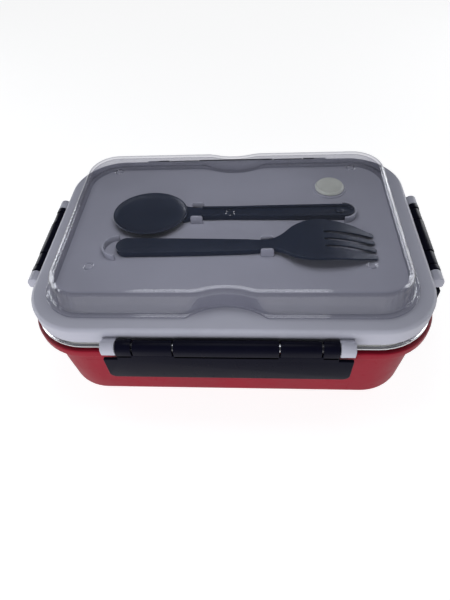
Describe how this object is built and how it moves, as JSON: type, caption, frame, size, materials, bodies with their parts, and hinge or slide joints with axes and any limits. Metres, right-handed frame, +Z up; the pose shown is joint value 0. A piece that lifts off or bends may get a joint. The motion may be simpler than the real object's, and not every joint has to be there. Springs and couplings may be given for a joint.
{
  "type": "lunch box",
  "caption": "Rectangular lunch box with a steel tray, a latched lid, a vent plug and a clear cover that stores a spoon and a fork.",
  "frame": {"origin": "centre of the footprint, on the surface the box stands on", "axes": "+X along the box to the right, +Y to the back, +Z up; the front latch is on the -Y side"},
  "size_m": [0.2538, 0.1792, 0.092],
  "materials": {
    "tub": "satin moulded polypropylene",
    "tray": "pressed stainless steel",
    "lid": "satin moulded polypropylene",
    "seal": "silicone",
    "plug": "silicone",
    "cover": "clear moulded plastic",
    "cutlery": "satin moulded plastic",
    "latch": "gloss moulded plastic",
    "pin": "drawn steel rod"
  },
  "bodies": {
    "tub": {"outer_tub": "tub"},
    "tray": {"inner_tray": "tray"},
    "lid": {"lid": "lid", "lid_gasket": "seal", "latch_pin_front": "pin", "latch_pin_back": "pin", "latch_pin_left": "pin", "latch_pin_right": "pin"},
    "vent_plug": {"vent_plug": "plug"},
    "cover": {"clear_cover": "cover"},
    "fork": {"fork": "cutlery"},
    "spoon": {"spoon": "cutlery"},
    "latch_front": {"latch_front": "latch"},
    "latch_back": {"latch_back": "latch"},
    "latch_left": {"latch_left": "latch"},
    "latch_right": {"latch_right": "latch"}
  },
  "joints": [
    {"name": "lid_lift", "type": "slide", "parent": "tub", "child": "lid", "axis": [0, 0, 1], "range_m": [0, 0.12]},
    {"name": "tray_lift", "type": "slide", "parent": "tub", "child": "tray", "axis": [0, 0, 1], "range_m": [0, 0.06]},
    {"name": "cover_lift", "type": "slide", "parent": "lid", "child": "cover", "axis": [0, 0, 1], "range_m": [0, 0.06]},
    {"name": "fork_lift", "type": "slide", "parent": "lid", "child": "fork", "axis": [0, 0, 1], "range_m": [0, 0.03]},
    {"name": "spoon_lift", "type": "slide", "parent": "lid", "child": "spoon", "axis": [0, 0, 1], "range_m": [0, 0.03]},
    {"name": "vent_plug_lift", "type": "slide", "parent": "lid", "child": "vent_plug", "axis": [0, 0, 1], "range_m": [0, 0.004]},
    {"name": "latch_front_hinge", "type": "hinge", "parent": "lid", "child": "latch_front", "pos_m": [0, -0.08565, 0.069], "axis": [-1, 0, 0], "range_deg": [0, 120]},
    {"name": "latch_back_hinge", "type": "hinge", "parent": "lid", "child": "latch_back", "pos_m": [0, 0.08565, 0.069], "axis": [1, 0, 0], "range_deg": [0, 120]},
    {"name": "latch_left_hinge", "type": "hinge", "parent": "lid", "child": "latch_left", "pos_m": [-0.1229, 0, 0.069], "axis": [0, 1, 0], "range_deg": [0, 120]},
    {"name": "latch_right_hinge", "type": "hinge", "parent": "lid", "child": "latch_right", "pos_m": [0.1229, 0, 0.069], "axis": [0, -1, 0], "range_deg": [0, 120]}
  ],
  "couplings": [
    {"joint": "tray_lift", "follows": "lid_lift", "ratio": 0.5},
    {"joint": "fork_lift", "follows": "cover_lift", "ratio": 0.5},
    {"joint": "spoon_lift", "follows": "cover_lift", "ratio": 0.5}
  ]
}
